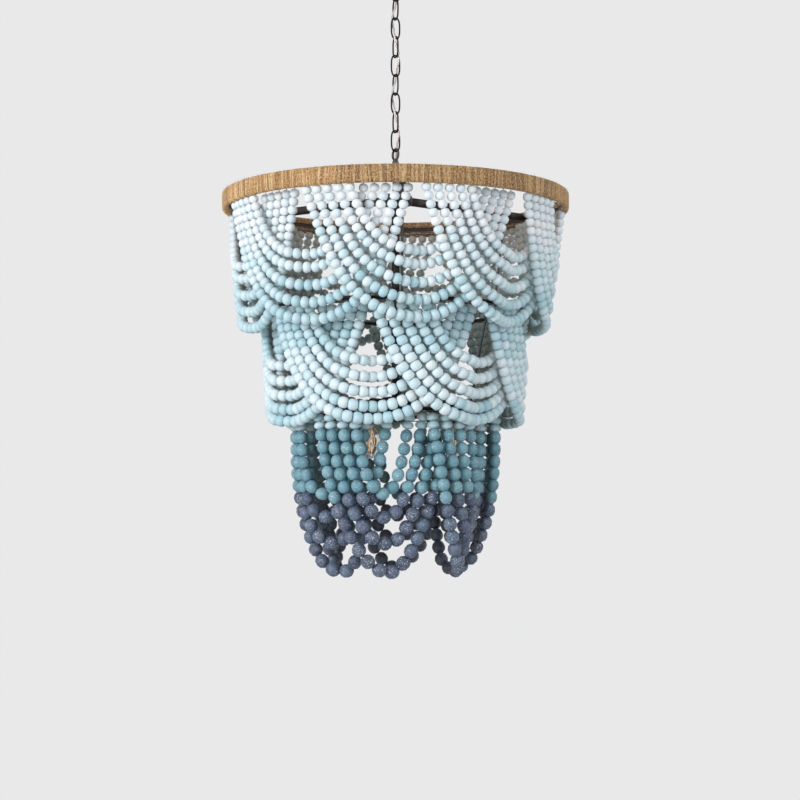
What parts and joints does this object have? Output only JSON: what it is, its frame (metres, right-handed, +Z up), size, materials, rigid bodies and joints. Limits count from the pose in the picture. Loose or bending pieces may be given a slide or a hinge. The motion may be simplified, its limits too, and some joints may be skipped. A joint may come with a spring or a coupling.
{
  "type": "beaded chandelier",
  "caption": "Chain-hung chandelier with nested swags of wooden beads in three stepped tiers under a jute-wrapped band, around a cluster of bare bulbs.",
  "frame": {"origin": "centre of the ceiling plane at the top of the crossbar and canopy rim", "axes": "+Z up along the chain, -Y towards the viewer of the picture, +X to the viewer's right"},
  "size_m": [0.57, 0.57, 1.0418],
  "materials": {
    "bronze": "dark bronze, satin",
    "steel": "plain dark steel",
    "jute": "natural jute twine, close wound",
    "upper_beads": "chalky pale blue wash",
    "middle_beads": "chalky pale blue wash",
    "lower_beads": "chalky teal and navy wash",
    "cord": "clear sheath over silver wire",
    "glass": "clear",
    "brass": "plain",
    "socket": "dark brown"
  },
  "bodies": {
    "ceiling_mount": {"ceiling_crossbar": "steel", "nipple": "steel", "lock_nut": "brass", "canopy_loop": "bronze", "lamp_cord": "cord"},
    "canopy_cover": {"canopy": "bronze", "collar_nut": "bronze"},
    "link_1": {"chain_link_1": "bronze"},
    "link_2": {"chain_link_2": "bronze"},
    "link_3": {"chain_link_3": "bronze"},
    "link_4": {"chain_link_4": "bronze"},
    "link_5": {"chain_link_5": "bronze"},
    "link_6": {"chain_link_6": "bronze"},
    "link_7": {"chain_link_7": "bronze"},
    "link_8": {"chain_link_8": "bronze"},
    "link_9": {"chain_link_9": "bronze"},
    "fixture": {"stem_loop": "bronze", "frame_spider": "bronze", "band_hoop": "steel", "jute_wrap": "jute", "middle_bead_ring": "bronze", "lower_bead_ring": "bronze", "frame_strut_1": "bronze", "frame_strut_2": "bronze", "frame_strut_3": "bronze", "lamp_column": "bronze", "lamp_cluster": "bronze", "cluster_finial": "bronze", "socket_1": "socket", "socket_2": "socket", "socket_3": "socket", "upper_swag_1": "upper_beads", "upper_swag_2": "upper_beads", "upper_swag_3": "upper_beads", "upper_swag_4": "upper_beads", "upper_swag_5": "upper_beads", "upper_swag_6": "upper_beads", "upper_swag_7": "upper_beads", "upper_swag_8": "upper_beads", "upper_swag_9": "upper_beads", "middle_swag_1": "middle_beads", "middle_swag_2": "middle_beads", "middle_swag_3": "middle_beads", "middle_swag_4": "middle_beads", "middle_swag_5": "middle_beads", "middle_swag_6": "middle_beads", "middle_swag_7": "middle_beads", "lower_swag_1": "lower_beads", "lower_swag_2": "lower_beads", "lower_swag_3": "lower_beads", "lower_swag_4": "lower_beads", "lower_swag_5": "lower_beads", "lower_swag_6": "lower_beads"},
    "bulb_1": {"bulb_base_1": "brass", "bulb_glass_1": "glass"},
    "bulb_2": {"bulb_base_2": "brass", "bulb_glass_2": "glass"},
    "bulb_3": {"bulb_base_3": "brass", "bulb_glass_3": "glass"}
  },
  "joints": [
    {"name": "canopy_drop", "type": "slide", "parent": "ceiling_mount", "child": "canopy_cover", "axis": [0, 0, -1], "range_m": [0, 0.016]},
    {"name": "link_swing_1", "type": "hinge", "parent": "ceiling_mount", "child": "link_1", "pos_m": [0, 0, -0.06115], "axis": [0.515, -0.8572, 0], "range_deg": [-10, 10], "deforming": ["lamp_cord"]},
    {"name": "link_swing_2", "type": "hinge", "parent": "link_1", "child": "link_2", "pos_m": [0, 0, -0.0915], "axis": [0.8572, 0.515, 0], "range_deg": [-10, 10], "deforming": ["lamp_cord"]},
    {"name": "link_swing_3", "type": "hinge", "parent": "link_2", "child": "link_3", "pos_m": [0, 0, -0.1225], "axis": [0.515, -0.8572, 0], "range_deg": [-10, 10], "deforming": ["lamp_cord"]},
    {"name": "link_swing_4", "type": "hinge", "parent": "link_3", "child": "link_4", "pos_m": [0, 0, -0.1535], "axis": [0.8572, 0.515, 0], "range_deg": [-10, 10], "deforming": ["lamp_cord"]},
    {"name": "link_swing_5", "type": "hinge", "parent": "link_4", "child": "link_5", "pos_m": [0, 0, -0.1845], "axis": [0.515, -0.8572, 0], "range_deg": [-10, 10], "deforming": ["lamp_cord"]},
    {"name": "link_swing_6", "type": "hinge", "parent": "link_5", "child": "link_6", "pos_m": [0, 0, -0.2155], "axis": [0.8572, 0.515, 0], "range_deg": [-10, 10], "deforming": ["lamp_cord"]},
    {"name": "link_swing_7", "type": "hinge", "parent": "link_6", "child": "link_7", "pos_m": [0, 0, -0.2465], "axis": [0.515, -0.8572, 0], "range_deg": [-10, 10], "deforming": ["lamp_cord"]},
    {"name": "link_swing_8", "type": "hinge", "parent": "link_7", "child": "link_8", "pos_m": [0, 0, -0.2775], "axis": [0.8572, 0.515, 0], "range_deg": [-10, 10], "deforming": ["lamp_cord"]},
    {"name": "link_swing_9", "type": "hinge", "parent": "link_8", "child": "link_9", "pos_m": [0, 0, -0.3085], "axis": [0.515, -0.8572, 0], "range_deg": [-10, 10], "deforming": ["lamp_cord"]},
    {"name": "fixture_swing", "type": "hinge", "parent": "link_9", "child": "fixture", "pos_m": [0, 0, -0.3395], "axis": [0.8572, 0.515, 0], "range_deg": [-10, 10], "deforming": ["lamp_cord"]},
    {"name": "bulb_out_1", "type": "slide", "parent": "fixture", "child": "bulb_1", "axis": [0, 0, -1], "range_m": [0, 0.024]},
    {"name": "bulb_out_2", "type": "slide", "parent": "fixture", "child": "bulb_2", "axis": [0, 0, -1], "range_m": [0, 0.024]},
    {"name": "bulb_out_3", "type": "slide", "parent": "fixture", "child": "bulb_3", "axis": [0, 0, -1], "range_m": [0, 0.024]}
  ]
}
